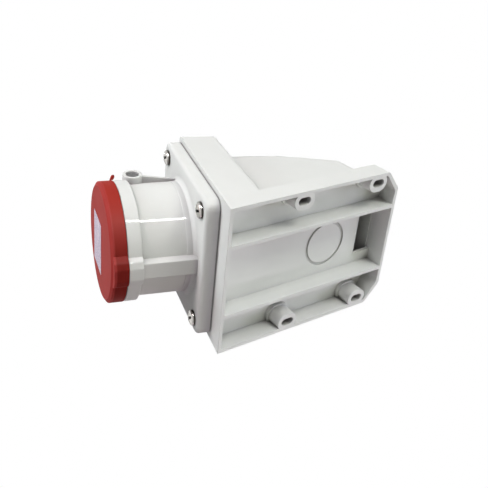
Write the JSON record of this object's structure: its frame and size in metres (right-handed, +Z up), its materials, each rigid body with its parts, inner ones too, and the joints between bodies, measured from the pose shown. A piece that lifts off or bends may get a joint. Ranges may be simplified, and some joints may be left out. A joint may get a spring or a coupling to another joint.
{
  "type": "industrial wall socket",
  "caption": "Angled grey wall-mounted industrial socket seen from its wall side, with open-backed box, round barrel and spring-closed red lid.",
  "frame": {"origin": "on the wall-side rim at the mouth end, in the wall plane, on the centre line", "axes": "+Z up the wall with the mouth facing down, +Y into the wall, +X across"},
  "size_m": [0.102, 0.1176, 0.1902],
  "materials": {
    "housing_grey": "moulded polyamide, satin",
    "box_grey": "moulded polyamide, satin",
    "lid_red": "moulded polyamide, satin red",
    "gasket_rubber": "closed-cell rubber",
    "seal_rubber": "rubber ring",
    "label_white": "plain white film, bare",
    "pin_steel": "stainless",
    "spring_steel": "spring wire",
    "carrier_black": "glass-filled polyamide",
    "retainer_black": "glass-filled polyamide",
    "sleeve_brass": "turned brass",
    "terminal_steel": "zinc-plated",
    "carrier_screw_steel": "zinc-plated",
    "screw_steel": "stainless pan head"
  },
  "bodies": {
    "socket_body": {"wall_box": "box_grey", "flange_gasket": "gasket_rubber", "socket_housing": "housing_grey", "hinge_pin": "pin_steel", "lid_spring": "spring_steel", "contact_carrier": "carrier_black", "contact_retainer": "retainer_black", "earth_sleeve": "sleeve_brass", "contact_sleeve_l1": "sleeve_brass", "contact_sleeve_l2": "sleeve_brass", "contact_sleeve_l3": "sleeve_brass", "contact_sleeve_n": "sleeve_brass", "terminal_screw_earth": "terminal_steel", "terminal_screw_l1": "terminal_steel", "terminal_screw_l2": "terminal_steel", "terminal_screw_l3": "terminal_steel", "terminal_screw_n": "terminal_steel", "carrier_screw_1": "carrier_screw_steel", "carrier_screw_2": "carrier_screw_steel", "carrier_screw_3": "carrier_screw_steel", "flange_screw_1": "screw_steel", "flange_screw_2": "screw_steel", "flange_screw_3": "screw_steel", "flange_screw_4": "screw_steel"},
    "lid_body": {"lid": "lid_red", "lid_seal": "seal_rubber", "lid_label": "label_white"}
  },
  "joints": [
    {"name": "lid_hinge", "type": "hinge", "parent": "socket_body", "child": "lid_body", "pos_m": [0, -0.11363, -0.01791], "axis": [-1, 0, 0], "range_deg": [0, 110], "stiffness_Nm_per_rad": 0.08, "springref_deg": -85.94, "deforming": ["lid_spring"]}
  ]
}
